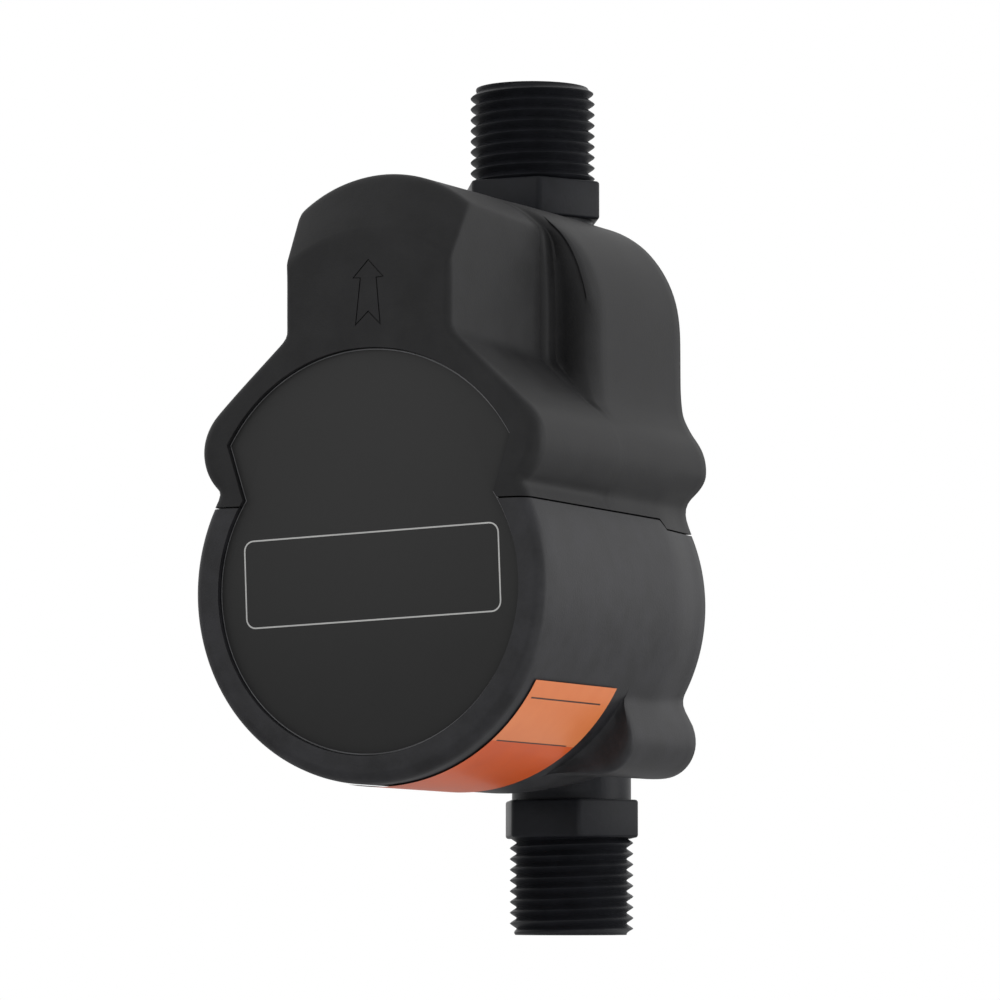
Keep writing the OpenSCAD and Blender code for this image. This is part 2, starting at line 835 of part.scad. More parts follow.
module control_board() {
    color(board_color) difference() {
        translate([-board_w / 2, board_y, axis_h + board_rise])
            cube([board_w, board_t, board_h]);
        for (side = [1, -1], rise = [board_screw[1], board_screw[2]])
            bar(board_screw_r, board_y - over, board_y + board_t + over,
                side * board_screw[0], axis_h + board_rise + rise);
    }
}

module lead_socket() {
    color("#e8e4d8")
        translate([-socket_size[0] / 2, board_y - socket_size[1], axis_h + socket_rise])
            cube(socket_size);
}

module capacitors() {
    color("#2b3550") for (side = [1, -1])
        bar(capacitor_r, board_y - capacitor_len, board_y,
            side * capacitor_x, axis_h + capacitor_rise);
}

module power_transistors() {
    color("#1c1c1e") for (i = [0:transistors - 1])
        translate([(i - (transistors - 1) / 2) * transistor_pitch - transistor_size[0] / 2,
                   board_y + board_t, axis_h + transistor_rise])
            cube(transistor_size);
}

module choke() {
    color("#5c4a3a") bar(choke_r, board_y + board_t, board_y + board_t + choke_len,
                         -choke_x, axis_h + choke_rise);
}

module control_chip() {
    color("#1c1c1e")
        translate([choke_x - chip_size[0] / 2, board_y + board_t, axis_h + chip_rise])
            cube(chip_size);
}

module reed_switch() {
    color("#b9c7b4")
        translate([0, reed_y, axis_h + reed_rise])
            cylinder(h = reed_len, r = reed_r);
}

// The float that the flow lifts: a body with four guide ribs and a pocket for its magnet
module flow_float() {
    color("#e8e4d8") translate([0, outlet_y, float_z]) difference() {
        union() {
            cylinder(h = float_len, r = float_r);
            for (i = [0:float_ribs - 1]) rotate(45 + 360 * i / float_ribs)
                intersection() {
                    translate([(float_magnet_r + float_r) / 2, -float_rib_w / 2, 0])
                        cube([float_bore_r, float_rib_w, float_len]);
                    cylinder(h = float_len, r = float_bore_r - float_gap);
                }
        }
        translate([0, 0, float_floor_t]) cylinder(h = float_len, r = float_magnet_r);
    }
}

module float_magnet() {
    color("#5a5d63") translate([0, outlet_y, float_z + float_floor_t])
        cylinder(h = float_magnet_len, r = float_magnet_r);
}

// The ring that ends the float's travel
module float_stop() {
    color("#b9bcc0")
        translate([0, outlet_y, float_z + float_len + float_travel + float_lift])
            difference() {
                cylinder(h = stop_h, r = float_bore_r);
                translate([0, 0, -over]) cylinder(h = stop_h + 2 * over, r = stop_r);
            }
}

// The gland that the supply cord passes through
module cable_gland() {
    inside = back_y - rear_cover_t;
    color(rubber_color)
        turned([[gland_bore_r, inside - gland_lip], [gland_flange_r, inside - gland_lip],
                [gland_flange_r, inside], [gland_neck_r, inside], [gland_neck_r, back_y],
                [gland_flange_r, back_y], [gland_nose_r, back_y + gland_nose],
                [gland_bore_r, back_y + gland_nose]], gland_x, axis_h + gland_rise);
}

// A pan-head screw whose head stands on y, its shank running forward from there
module screw(y, head_r, head_h, shank_r, len, forward = true) {
    head = forward ? [y, y + head_h] : [y - head_h, y];
    shank = forward ? [y - len, y + over] : [y - over, y + len];
    slot_y = forward ? y + head_h - screw_slot_depth : y - head_h - over;
    difference() {
        union() {
            bar(head_r, head[0], head[1], 0, 0);
            bar(shank_r, shank[0], shank[1], 0, 0);
        }
        for (turn = [0, 90]) rotate([0, turn, 0])
            translate([-head_r * screw_slot_share, slot_y, -screw_slot_w / 2])
                cube([2 * head_r * screw_slot_share, screw_slot_depth + over, screw_slot_w]);
    }
}

module casing_screws() {
    color(steel_color) corners()
        screw(back_y, screw_head_r, screw_head_h, screw_r, back_y - ear_y + boss_len - over);
}

module cover_screws() {
    color(steel_color) on_ring(cover_screw_count, cover_screw_ring)
        screw(back_y + cover_t, cover_screw_head_r, cover_screw_head_h, cover_screw_r,
              cover_screw_len);
}

module can_screws() {
    color(steel_color) on_ring(can_screw_count, can_screw_ring)
        screw(can_y, can_screw_head_r, can_screw_head_h, can_screw_r, can_screw_len, false);
}

module board_screws() {
    color(steel_color) for (side = [1, -1], rise = [board_screw[1], board_screw[2]])
        translate([side * board_screw[0], 0, axis_h + board_rise + rise])
            screw(board_y + board_t, board_screw_head_r, board_screw_head_h, board_screw_r,
                  board_screw_len);
}

upper_casing();
lower_casing();
rear_cover();
front_plate();
seal_label();
pump_body();
suction_cover();
cover_oring();
can_oring();
separating_can();
ceramic_shaft();
front_thrust_washer();
rear_thrust_washer();
front_bush();
rear_bush();
rotor_hub();
rotor_magnet();
impeller();
stator_core();
slot_insulators();
stator_coils();
winding_board();
motor_leads();
control_board();
lead_socket();
capacitors();
power_transistors();
choke();
control_chip();
reed_switch();
flow_float();
float_magnet();
float_stop();
cable_gland();
casing_screws();
cover_screws();
can_screws();
board_screws();
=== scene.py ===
import bpy
import bmesh
import math
from mathutils import Matrix, Vector


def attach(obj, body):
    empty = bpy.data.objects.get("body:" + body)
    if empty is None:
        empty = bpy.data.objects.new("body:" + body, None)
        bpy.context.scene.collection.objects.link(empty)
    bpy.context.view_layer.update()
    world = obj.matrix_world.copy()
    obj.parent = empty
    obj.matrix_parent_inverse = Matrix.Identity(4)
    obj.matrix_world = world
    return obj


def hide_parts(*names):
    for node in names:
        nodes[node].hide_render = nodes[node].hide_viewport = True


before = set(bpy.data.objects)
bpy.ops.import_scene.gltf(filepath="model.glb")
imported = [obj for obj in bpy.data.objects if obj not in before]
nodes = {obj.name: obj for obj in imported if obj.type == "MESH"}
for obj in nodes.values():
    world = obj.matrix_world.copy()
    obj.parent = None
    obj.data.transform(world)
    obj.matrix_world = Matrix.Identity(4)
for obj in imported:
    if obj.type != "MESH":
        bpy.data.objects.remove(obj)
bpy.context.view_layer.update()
scene = bpy.context.scene

# Shapes are drawn in millimetres and scaled when they are done. The inlet's end is at z = 0, the
# motor's axis runs along Y, and the object faces -Y.
MM = 0.001
AXIS_H = 54.2
FRONT_Y = -77.5
BACK_Y = -10.6
OUTLET_Y = -15.4
SPAN = 142.3
# The drum outside and inside and its front wall, the rounding of the lower casing's front edge,
# and how far the lower casing's skin lies inside the upper one's
DRUM_R = 31.2
INNER_R = 28.8
FRONT_WALL = 3.8
LOW_EDGE_R = 2.0
LOW_INSET = 0.12
# The drum's taper at the rear, the rounding of its rear edge, and how far that rounding runs
# for each millimetre that it is drawn in
TAPER_DEPTH = 1.3
TAPER_RUN = (-27, -11)
REAR_ROUND = 0.6
REAR_SLOPE = 0.6
# The corner screws, across and up from the axis, and what stands round them
BOSS = (22.1, 22.6)
SHOULDER_R = 8.1
LOBE_R = 6.2
LOBE_WALL = 1.3
POCKET_Y = -16
EAR_R = 4.6
EAR_Y = -15.9
# The seam between the casings, which steps down near the back
SEAM_RISE = 13.7
SEAM_STEP = 1.6
SEAM_STEP_LEN = 15.4
SEAM_GAP = 0.28
# The neck: its top, the arc over it, its half width in front and at the hood, how much it widens
# for each millimetre back, and the slope at its top front edge
TOP_Z = 121.0
CAP_R = 23.5
NECK_HALF = 14.7
NECK_BACK_HALF = 17.0
NECK_SPREAD = 0.0807
FLARE_ANGLE = 47
SLOPE_RISE = 9.9
SLOPE_RUN = 6.0
# The hood: its top, its corner's centre and radius, where its straight side ends, and its bend
HOOD_TOP = 119.3
HOOD_CORNER = (6.5, 100.3, 19)
HOOD_SIDE_END = 90
HOOD_BEND = (25.9, 86)
# Where the hood's front starts, at the neck's side, and ends, at its own side, along Y
HOOD_FRONT_YS = (-49.2, -42.8)
# The label plate: its circle, the wider arc above its notches, its edge, and its recess
PLATE_R = 26.5
NOTCH_RISE = 14.6
PLATE_TOP_R = 28.7
PLATE_TOP_RISE = 9.5
PLATE_TOP_HALF = 25.0
PLATE_EDGE = 0.26
PLATE_Y = FRONT_Y + 0.8
RECESS_Y = FRONT_Y + 1.2
RECESS_GAP = 0.09
# The orange label round the drum, with angles in degrees from level: its ends, where its darker
# block starts, and its two lines
SEAL_START, SEAL_END = -28.5, -100
SEAL_LOW, SEAL_HIGH = FRONT_Y + 4.6, FRONT_Y + 35.3
BLOCK_START = -51
LINE_ANGLES = (-34.0, -50.4)
LINE_WIDTH = 0.5
LINE_LOW, LINE_HIGH = SEAL_LOW + 1.6, SEAL_HIGH - 3.0
SEAL_LIFT, LINE_LIFT = 0.16, 0.18
# The ports: a pipe thread, a hexagon, the start of a pipe and a bore
PITCH = 1.814
CRESTS = 9
THREAD_R = 10.4775
THREAD_DEPTH = 1.162
THREAD_LEN = CRESTS * PITCH
CREST_FLAT = 1 / 6
HEX_FLATS = 21.5
HEX_H = 6.4
PORT_LEN = THREAD_LEN + HEX_H
PIPE_R = 10.1
BORE_R = 7.5
MOUTH_CHAMFER = 0.5
BORE_DEPTH = 34.0
# The port's own pipe starts inside the hexagon and ends past it, and the node is cut between
PIPE_START, NODE_CUT, PIPE_END = PORT_LEN - 0.6, PORT_LEN + 0.4, PORT_LEN + 1.2
# Points nearer than this are merged, and the block under the seam reaches this far sideways
WELD = 0.0005
BLOCK_HALF = 60.0

CAMERA_PLACE = (421.1, -913.2, -8.5)
CAMERA_AIM = (-7.355, -12.773, 73.174)
CAMERA_LENS = 213.3
# The floor's height and the point that the lamps face, in metres
FLOOR_Z = -0.16
LAMP_AIM = (0.0, -0.04, 0.07)


def look(ob, target):
    ob.rotation_euler = (Vector(target) - ob.location).to_track_quat("-Z", "Y").to_euler()


camera = bpy.data.objects.new("camera", bpy.data.cameras.new("camera"))
scene.collection.objects.link(camera)
camera.location = Vector(CAMERA_PLACE) * MM
look(camera, Vector(CAMERA_AIM) * MM)
camera.data.sensor_width = 36
camera.data.lens = CAMERA_LENS
camera.data.clip_start = 0.01
camera.data.clip_end = 50
scene.camera = camera


def linear(hex_colour):
    """An sRGB hex colour as linear RGBA."""
    raw = [int(hex_colour[i:i + 2], 16) / 255 for i in (1, 3, 5)]
    return tuple(c / 12.92 if c <= 0.04045 else ((c + 0.055) / 1.055) ** 2.4
                 for c in raw) + (1.0,)


def add(tree, kind, links=None, **settings):
    """Adds a node, sets its properties or inputs, and links its inputs to other sockets."""
    node = tree.nodes.new(kind)
    for key, value in settings.items():
        label = key.replace("_", " ")
        if label in node.inputs:
            node.inputs[label].default_value = value
        else:
            setattr(node, key, value)
    for key, socket in (links or {}).items():
        tree.links.new(socket, node.inputs[key])
    return node


def blend(tree, factor, *colours):
    """Mixes two colours, each an sRGB hex colour or a socket, by a socket."""
    node = add(tree, "ShaderNodeMix", {0: factor}, data_type="RGBA")
    for socket, colour in zip((node.inputs[6], node.inputs[7]), colours):
        if isinstance(colour, str):
            socket.default_value = linear(colour)
        else:
            tree.links.new(colour, socket)
    return node.outputs[2]


def relief(tree, shader, height, strength, distance):
    """Bumps a shader's surface by a socket; the distance is in metres."""
    rise = add(tree, "ShaderNodeBump", {"Height": height}, Strength=strength, Distance=distance)
    tree.links.new(rise.outputs["Normal"], shader.inputs["Normal"])


def finish(name):
    """A new material with its tree, its shader and its Object coordinates in millimetres."""
    material = bpy.data.materials.new(name)
    material.use_nodes = True
    tree = material.node_tree
    tree.nodes.clear()
    shader = add(tree, "ShaderNodeBsdfPrincipled")
    add(tree, "ShaderNodeOutputMaterial", {"Surface": shader.outputs["BSDF"]})
    coordinates = add(tree, "ShaderNodeTexCoord")
    scale = add(tree, "ShaderNodeMapping", {"Vector": coordinates.outputs["Object"]},
                Scale=(1000, 1000, 1000))
    return material, tree, shader, scale.outputs["Vector"]


def moulded(name, dark, light, rough, grain=0.5, bump=0.15, mottle=6.0, wear=None,
            level=0.5, coat=0.0):
    """Moulded or pressed stock: a mottled colour, a fine grain, and faint handling marks.

    The grain and the mottle are given by their size in millimetres.
    """
    material, tree, shader, mm = finish(name)
    patches = add(tree, "ShaderNodeTexNoise", {"Vector": mm}, Scale=1 / mottle, Detail=5.0,
                  Roughness=0.6).outputs["Fac"]
    share = add(tree, "ShaderNodeMapRange", {"Value": patches}, From_Min=0.35, From_Max=0.7)
    colour = blend(tree, share.outputs["Result"], dark, light)
    if wear:
        scratches = add(tree, "ShaderNodeTexNoise", {"Vector": mm}, Scale=0.9, Detail=8.0,
                        Roughness=0.75, Distortion=1.2)
        marks = add(tree, "ShaderNodeMapRange", {"Value": scratches.outputs["Fac"]},
                    From_Min=0.62, From_Max=0.78, To_Max=0.35)
        colour = blend(tree, marks.outputs["Result"], colour, wear)
    tree.links.new(colour, shader.inputs["Base Color"])
    texture = add(tree, "ShaderNodeTexNoise", {"Vector": mm}, Scale=1 / grain, Detail=3.0)
    relief(tree, shader, texture.outputs["Fac"], bump, 0.0001)
    gloss = add(tree, "ShaderNodeMapRange", {"Value": patches},
                To_Min=max(0.05, rough - 0.06), To_Max=min(1.0, rough + 0.06))
    tree.links.new(gloss.outputs["Result"], shader.inputs["Roughness"])
    shader.inputs["Specular IOR Level"].default_value = level
    if coat:
        shader.inputs["Coat Weight"].default_value = coat
        shader.inputs["Coat Roughness"].default_value = 0.15
    return material


def metal(name, dark, light, rough, stretch=(1, 1, 1), grain=0.6):
    """A metal with fine lines across the stretched direction, or an even grain."""
    material, tree, shader, mm = finish(name)
    stretched = add(tree, "ShaderNodeMapping", {"Vector": mm}, Scale=stretch)
    lines = add(tree, "ShaderNodeTexNoise", {"Vector": stretched.outputs["Vector"]},
                Scale=1 / grain, Detail=4.0).outputs["Fac"]
    tree.links.new(blend(tree, lines, dark, light), shader.inputs["Base Color"])
    relief(tree, shader, lines, 0.1, 0.00005)
    shader.inputs["Metallic"].default_value = 1.0
    shader.inputs["Roughness"].default_value = rough
    return material


# Spark-eroded ABS: matt black, a little brown and scuffed
casing = moulded("moulded_matt_abs", "#19191a", "#242425", 0.55, grain=0.35, bump=0.25,
                 mottle=7.0, wear="#2e2e30", level=0.2)
# The same plastic, a little paler where it has been handled
casing_low = moulded("moulded_matt_abs_handled", "#1e1e20", "#2d2d30", 0.5, grain=0.35,
                     bump=0.25, mottle=5.0, wear="#3c3c3e", level=0.25)
# Glass-filled nylon: semi-gloss, blue-black, with faint flow marks
nylon = moulded("moulded_glass_filled_nylon", "#191a1d", "#202125", 0.42, grain=0.5,
                bump=0.18, mottle=4.0, wear="#2a2c32", level=0.12)
# Printed film: an even, almost smooth black. Its bevelled rim gets a lighter grey, a painted
# highlight where the edge catches light
film = moulded("printed_matt_film", "#222222", "#242424", 0.5, grain=0.3, bump=0.05,
               mottle=20.0, level=0.25)
film_rim_highlight = moulded("film_rim_painted_highlight", "#6a6a6c", "#7c7c7e", 0.4, bump=0.05, level=0.35)
# Ink: off-white and flat
ink = moulded("screen_printed_white_ink", "#b9b9b8", "#c6c6c4", 0.5, bump=0.05, level=0.3)
# The label's film and its darker printed block, both with a thin gloss, and its dark lines
sticker = moulded("orange_polyester_film", "#dc7a44", "#e2844e", 0.42, grain=0.8, bump=0.03,
                  mottle=9.0, level=0.3, coat=0.08)
sticker_dark = moulded("orange_printed_block", "#cb4f0c", "#d45712", 0.42, grain=0.8,
                       bump=0.03, mottle=9.0, level=0.25, coat=0.08)
print_line = moulded("dark_printed_line", "#3a1a10", "#44210f", 0.45, bump=0.03)
# Rubber: dull, with a fine tooth
rubber = moulded("moulded_epdm_rubber", "#1b1b1b", "#242424", 0.75, grain=0.25, bump=0.2,
                 level=0.3)
# The inner plastics: a grey one for the can and a milky one for what touches water
ppo = moulded("moulded_grey_ppo", "#8b8f94", "#9a9ea2", 0.45)
white = moulded("moulded_natural_nylon", "#dcd8cb", "#e9e6db", 0.42)
# Ground ceramic: near white and smooth. Graphite and ferrite: dark and granular
ceramic = moulded("ground_alumina_ceramic", "#efece2", "#f6f4ee", 0.18, bump=0.03)
graphite = moulded("pressed_graphite", "#3c3c40", "#4e4e54", 0.42, grain=0.3, bump=0.2)
ferrite = moulded("sintered_ferrite", "#2e2e32", "#3f3f45", 0.5, grain=0.4, bump=0.25)
# The stator: sheets seen as fine lines across the stack, and coppery enamelled wire
steel_sheet = metal("stacked_steel_sheet", "#7d8086", "#9ea2a8", 0.38, stretch=(1, 24, 1))
enamelled = metal("enamelled_copper_wire", "#9c4f22", "#c8743c", 0.3, grain=0.5)
# The driver and the leads: a green mask, red leads, blue sleeves, black cases, a rough brown core
# and a pale, glossy glass
board = moulded("glass_epoxy_with_green_mask", "#255c30", "#2f6e3b", 0.3, grain=0.4,
                mottle=3.0)
pvc = moulded("extruded_red_pvc", "#a52c27", "#bb3a33", 0.4)
sleeve = moulded("printed_blue_sleeve", "#222c47", "#2d385a", 0.3)
resin = moulded("moulded_epoxy_resin", "#161618", "#212124", 0.5)
wound_core = moulded("varnished_wound_core", "#4c3a2c", "#62503c", 0.5, grain=0.7, bump=0.5)
glass = moulded("clear_soda_glass", "#b4c4b0", "#c4d2c0", 0.08, bump=0.01)
# Screws and the float's stop: bright, with a turned grain
stainless = metal("turned_stainless_steel", "#9b9ea3", "#c2c5ca", 0.3, grain=0.35)


def dress(ob, name, slot, *materials, body="pump", stands_for=(), smooth=35):
    """Names an object, gives it its materials and shading, and lets it ride on a body."""
    ob.name = name
    for material in materials:
        ob.data.materials.append(material)
    ob.data.shade_smooth()
    ob.data.set_sharp_from_angle(angle=math.radians(smooth))
    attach(ob, body)
    if stands_for:
        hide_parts(*stands_for)


def linked(bm, name):
    """Makes a bmesh an object in the scene."""
    mesh = bpy.data.meshes.new(name)
    bm.to_mesh(mesh)
    bm.free()
    ob = bpy.data.objects.new(name, mesh)
    scene.collection.objects.link(ob)
    return ob


def weld(bm):
    """Merges points that meet and turns all faces outward."""
    bmesh.ops.remove_doubles(bm, verts=bm.verts, dist=WELD)
    bmesh.ops.recalc_face_normals(bm, faces=bm.faces)


def piece(bm, name, slot, *materials, **options):
    """Makes a bmesh in millimetres a finished piece."""
    bmesh.ops.scale(bm, vec=(MM, MM, MM), verts=bm.verts)
    dress(linked(bm, name), name, slot, *materials, **options)


def loose(bm):
    """Makes a bmesh an object that stays in millimetres while it cuts or is cut."""
    weld(bm)
    return linked(bm, "cutter")


def cut(ob, cutters, how="DIFFERENCE"):
    """Cuts an object by others, one after another, and removes them."""
    for cutter in cutters:
        tool = ob.modifiers.new("cut", "BOOLEAN")
        tool.operation = how
        tool.solver = "EXACT"
        tool.object = cutter
        graph = bpy.context.evaluated_depsgraph_get()
        mesh = bpy.data.meshes.new_from_object(ob.evaluated_get(graph))
        ob.modifiers.clear()
        ob.data = mesh
        bpy.data.objects.remove(cutter)


def to_metres(ob):
    ob.data.transform(Matrix.Scale(MM, 4))
    return ob


def points_of(made):
    return [g for g in made if isinstance(g, bmesh.types.BMVert)]


def sheet(bm, rows, cols, place):
    """A grid of rows by columns whose points are put where place(u, v) says."""
    grid = bmesh.ops.create_grid(bm, x_segments=cols, y_segments=rows, size=0.5)
    for v in grid["verts"]:
        v.co = place(round((v.co.x + 0.5) * cols) / cols, round((v.co.y + 0.5) * rows) / rows)


def skin(rows, cols, place):
    """A closed solid from a sheet whose sides meet and whose two ends are flat."""
    bm = bmesh.new()
    sheet(bm, rows, cols, place)
    bmesh.ops.remove_doubles(bm, verts=bm.verts, dist=WELD)
    bmesh.ops.holes_fill(bm, edges=[e for e in bm.edges if e.is_boundary], sides=0)
    bmesh.ops.recalc_face_normals(bm, faces=bm.faces)
    return loose(bm)


def thicken(bm, faces, by):
    """Extrudes faces by a vector."""
    made = bmesh.ops.extrude_face_region(bm, geom=faces)["geom"]
    bmesh.ops.translate(bm, vec=by, verts=points_of(made))


def prism(outline, low, high):
    """A flat outline in X and Z made thick along Y."""
    bm = bmesh.new()
    face = bm.faces.new([bm.verts.new((x, low, z)) for x, z in outline])
    thicken(bm, [face], (0, high - low, 0))
    bmesh.ops.recalc_face_normals(bm, faces=bm.faces)
    return bm


def rod(r, low, high, x=0.0, z=AXIS_H):
    """A round bar along Y."""
    bm = bmesh.new()
    bmesh.ops.create_cone(bm, cap_ends=True, segments=96, radius1=r, radius2=r,
                          depth=high - low,
                          matrix=Matrix.Translation((x, (low + high) / 2, z))
                          @ Matrix.Rotation(-math.pi / 2, 4, "X"))
    return loose(bm)


def post(bm, r, low, high, y=0.0):
    """A round bar along Z."""
    bmesh.ops.create_cone(bm, cap_ends=True, segments=96, radius1=r, radius2=r,
                          depth=high - low, matrix=Matrix.Translation((0, y, (low + high) / 2)))


def arc(x, z, r, start, end, steps):
    return [(x + r * math.cos(math.radians(start + (end - start) * i / steps)),
             z + r * math.sin(math.radians(start + (end - start) * i / steps)))
            for i in range(steps + 1)]


def line(a, b, steps):
    return [(a[0] + (b[0] - a[0]) * i / steps, a[1] + (b[1] - a[1]) * i / steps)
            for i in range(steps + 1)]


def eased(points, times, closed_loop=False):
    """Rounds the corners of a dense run of points by moving each towards its neighbours."""
    n = len(points)
    for _ in range(times):
        new = list(points)
        for i in range(n):
            if closed_loop or 0 < i < n - 1:
                a, b, c = points[i - 1], points[i], points[(i + 1) % n]
                new[i] = (b[0] / 2 + (a[0] + c[0]) / 4, b[1] / 2 + (a[1] + c[1]) / 4)
        points = new
    return points


def mix(a, b, t):
    return a + (b - a) * t


def ramp(x, low, high):
    """0 below low, 1 above high and smooth between."""
    t = max(0.0, min(1.0, (x - low) / (high - low)))
    return t * t * (3 - 2 * t)


def inward(points):
    """Each point of a right-half outline with its inward direction."""
    middle_z = 62
    before = [(-points[1][0], points[1][1])] + points[:-1]
    after = points[1:] + [(-points[-2][0], points[-2][1])]
    out = []
    for a, p, c in zip(before, points, after):
        dx, dz = c[0] - a[0], c[1] - a[1]
        size = math.hypot(dx, dz) or 1
        side = 1 if dz * p[0] - dx * (p[1] - middle_z) < 0 else -1
        out.append((p, (side * dz / size, -side * dx / size)))
    return out


# Points on each part of a right-half outline: its top, side, flare, shoulder and drum
TOP_N, SIDE_N, FLARE_N, SHOULDER_N, DRUM_N = 32, 22, 18, 26, 62
HALF = TOP_N + SIDE_N + FLARE_N + SHOULDER_N + DRUM_N
# Where the flare meets the shoulder, and at which angles the shoulder and the drum meet
FOOT = (BOSS[0] + SHOULDER_R * math.cos(math.radians(FLARE_ANGLE)),
        AXIS_H + BOSS[1] + SHOULDER_R * math.sin(math.radians(FLARE_ANGLE)))
SHOULDER_NOTCH, DRUM_NOTCH = -54.7, 30.86


def shoulder_and_drum():
    return (arc(BOSS[0], AXIS_H + BOSS[1], SHOULDER_R, FLARE_ANGLE, SHOULDER_NOTCH,
                SHOULDER_N)[1:]
            + arc(0, AXIS_H, DRUM_R, DRUM_NOTCH, -90, DRUM_N)[1:])


def neck(half, drop):
    """Right half of the neck's outline, from its top centre down round the drum."""
    angle = math.degrees(math.asin(half / CAP_R))
    top = arc(0, TOP_Z - CAP_R - drop, CAP_R, 90, 90 - angle, TOP_N)
    bend = FOOT[1] + (FOOT[0] - half) / math.tan(math.radians(FLARE_ANGLE))
    side = line(top[-1], (half, bend), SIDE_N)
    return eased(top + side[1:] + line(side[-1], FOOT, FLARE_N)[1:] + shoulder_and_drum(),
                 times=2)


def hood():
    """Right half of the hood's outline, matched point for point with the neck's."""
    flat_n, corner_n = 8, 12
    x, z, r = HOOD_CORNER
    side_end = (x + r, HOOD_SIDE_END)
    top = line((0, HOOD_TOP), (x, HOOD_TOP), flat_n) + arc(x, z, r, 90, 45, TOP_N - flat_n)[1:]
    side = arc(x, z, r, 45, 0, corner_n)[1:] + line((x + r, z), side_end, SIDE_N - corner_n)[1:]
    foot = (line(side_end, HOOD_BEND, FLARE_N // 2)[1:]
            + line(HOOD_BEND, FOOT, FLARE_N - FLARE_N // 2)[1:])
    return eased(top + side + foot + shoulder_and_drum(), times=9)


HOOD = hood()
# How round the front edge is on each part of the outline, from the top to the drum
EDGE_R = [r for r, _ in eased([(0.45, 0)] * TOP_N + [(1.3, 0)] * SIDE_N + [(1.5, 0)] * FLARE_N
                              + [(2.4, 0)] * SHOULDER_N + [(2.0, 0)] * (DRUM_N + 1), times=30)]
# Where along the outline the hood's front has its groove
GROOVE = [ramp(z, 84, 90) * (1 - ramp(z, 111, 115.5))
          * (TOP_N // 2 < i < TOP_N + SIDE_N + FLARE_N) for i, (x, z) in enumerate(HOOD)]
# Where the hood's corner has a lip over the groove's upper end
LIP = [ramp(z, 99, 107) * (1 - ramp(z, 114.5, 117)) * (i < TOP_N + SIDE_N)
       for i, (x, z) in enumerate(HOOD)]
# How much of the rear taper the outline has: little on the hood
TAPER = [mix(1.0, 0.1, ramp(z, 70, 76)) for x, z in HOOD]
# The hood's front, from the neck's side (0) to the hood's side (1): how far back it lies in
# the groove and beside it, and how far the lip brings it forward
HOOD_FRONT = [(0.0, -49.0, -49.2, 0), (0.04, -48.85, -49.0, 0), (0.085, -48.6, -48.8, 0),
              (0.12, -48.2, -48.6, 0), (0.135, -47.5, -48.5, 0), (0.15, -46.7, -48.4, 0),
              (0.18, -46.2, -48.2, 0), (0.25, -46.0, -48.0, 0), (0.38, -46.1, -47.8, 0),
              (0.52, -46.1, -47.5, 0), (0.65, -46.0, -47.2, 0), (0.75, -45.8, -46.8, 0),
              (0.79, -45.6, -46.5, 0), (0.83, -45.3, -46.1, 1.0), (0.88, -44.8, -45.6, 1.2),
              (0.93, -44.2, -44.9, 1.0), (0.97, -43.6, -44.2, 0.6), (0.99, -43.2, -43.6, 0.2),
              (1.0, -42.7, -42.8, 0)]
# Rows of the skins: angles round the front edge, the upper one's depths behind it, and insets at
# the back
EDGE_ANGLES = (0, 18, 36, 54, 72, 90)
NECK_YS = (-74.6, -73.8, -73.0, -72.4, -72.0, -71.6, -71.2, -70.6, -69.6, -68, -65, -61, -57,
           -53, -50.5)
HOOD_YS = (-41, -38, -34, -30, -27, -25, -22, -18, -14, -11.4)
BACK_INSETS = (0.25, 0.6)


def drop_at(y):
    """How far the cap's arc is lowered by the slope, which eases out over its last part."""
    t = (y - FRONT_Y) / SLOPE_RUN
    straight, toe, toe_run = 0.85, 0.15, 0.3
    left = 1 - t if t < straight else toe * max(0.0, 1 - (t - straight) / toe_run) ** 2
    return SLOPE_RISE * left


def taper_at(y):
    return TAPER_DEPTH * ramp(y, *TAPER_RUN)


def back_y(inset):
    return BACK_Y - (REAR_ROUND - inset) * REAR_SLOPE


def neck_at(y):
    return neck(NECK_HALF + (y - FRONT_Y) * NECK_SPREAD, drop_at(y))


def edge_row(angle):
    """The front edge at one angle round its rounding."""
    outlines = {}
    row = []
    for i, r in enumerate(EDGE_R):
        y = FRONT_Y + r * (1 - math.cos(math.radians(angle)))
        inset = r * (1 - math.sin(math.radians(angle)))
        key = round(y, 2)
        if key not in outlines:
            outlines[key] = inward(neck_at(y))
        p, n = outlines[key][i]
        row.append((p[0] + n[0] * inset, y, p[1] + n[1] * inset))
    return row


def front_row(step):
    """One step across the hood's front, from the neck's side to the hood's."""
    across, deep, plain, lip = HOOD_FRONT[step]
    even = mix(*HOOD_FRONT_YS, step / (len(HOOD_FRONT) - 1))
    row = []
    for (nx, nz), (hx, hz), groove, rise in zip(neck(NECK_BACK_HALF, 0), HOOD, GROOVE, LIP):
        apart = ramp(math.hypot(hx - nx, hz - nz), 0.6, 3.0)
        y = mix(plain, deep, groove) - lip * rise
        row.append((mix(nx, hx, across), mix(even, y, apart), mix(nz, hz, across)))
    return row


def hood_row(y, taper, inset=0.0):
    """The hood's outline at a depth, drawn in by the taper and by an inset."""
    return [(p[0] + n[0] * (taper * t + inset), y, p[1] + n[1] * (taper * t + inset))
            for (p, n), t in zip(inward(HOOD), TAPER)]


UPPER_ROWS = ([edge_row(angle) for angle in EDGE_ANGLES]
              + [[(x, y, z) for x, z in neck_at(y)] for y in NECK_YS]
              + [front_row(step) for step in range(len(HOOD_FRONT))]
              + [hood_row(y, taper_at(y)) for y in HOOD_YS]
              + [hood_row(back_y(inset), TAPER_DEPTH, inset) for inset in BACK_INSETS])


def upper_place(u, v):
    row = UPPER_ROWS[round(v * (len(UPPER_ROWS) - 1))]
    k = round(u * 2 * HALF)
    x, y, z = row[min(k, 2 * HALF - k)]
    return Vector((x if k <= HALF else -x, y, z))


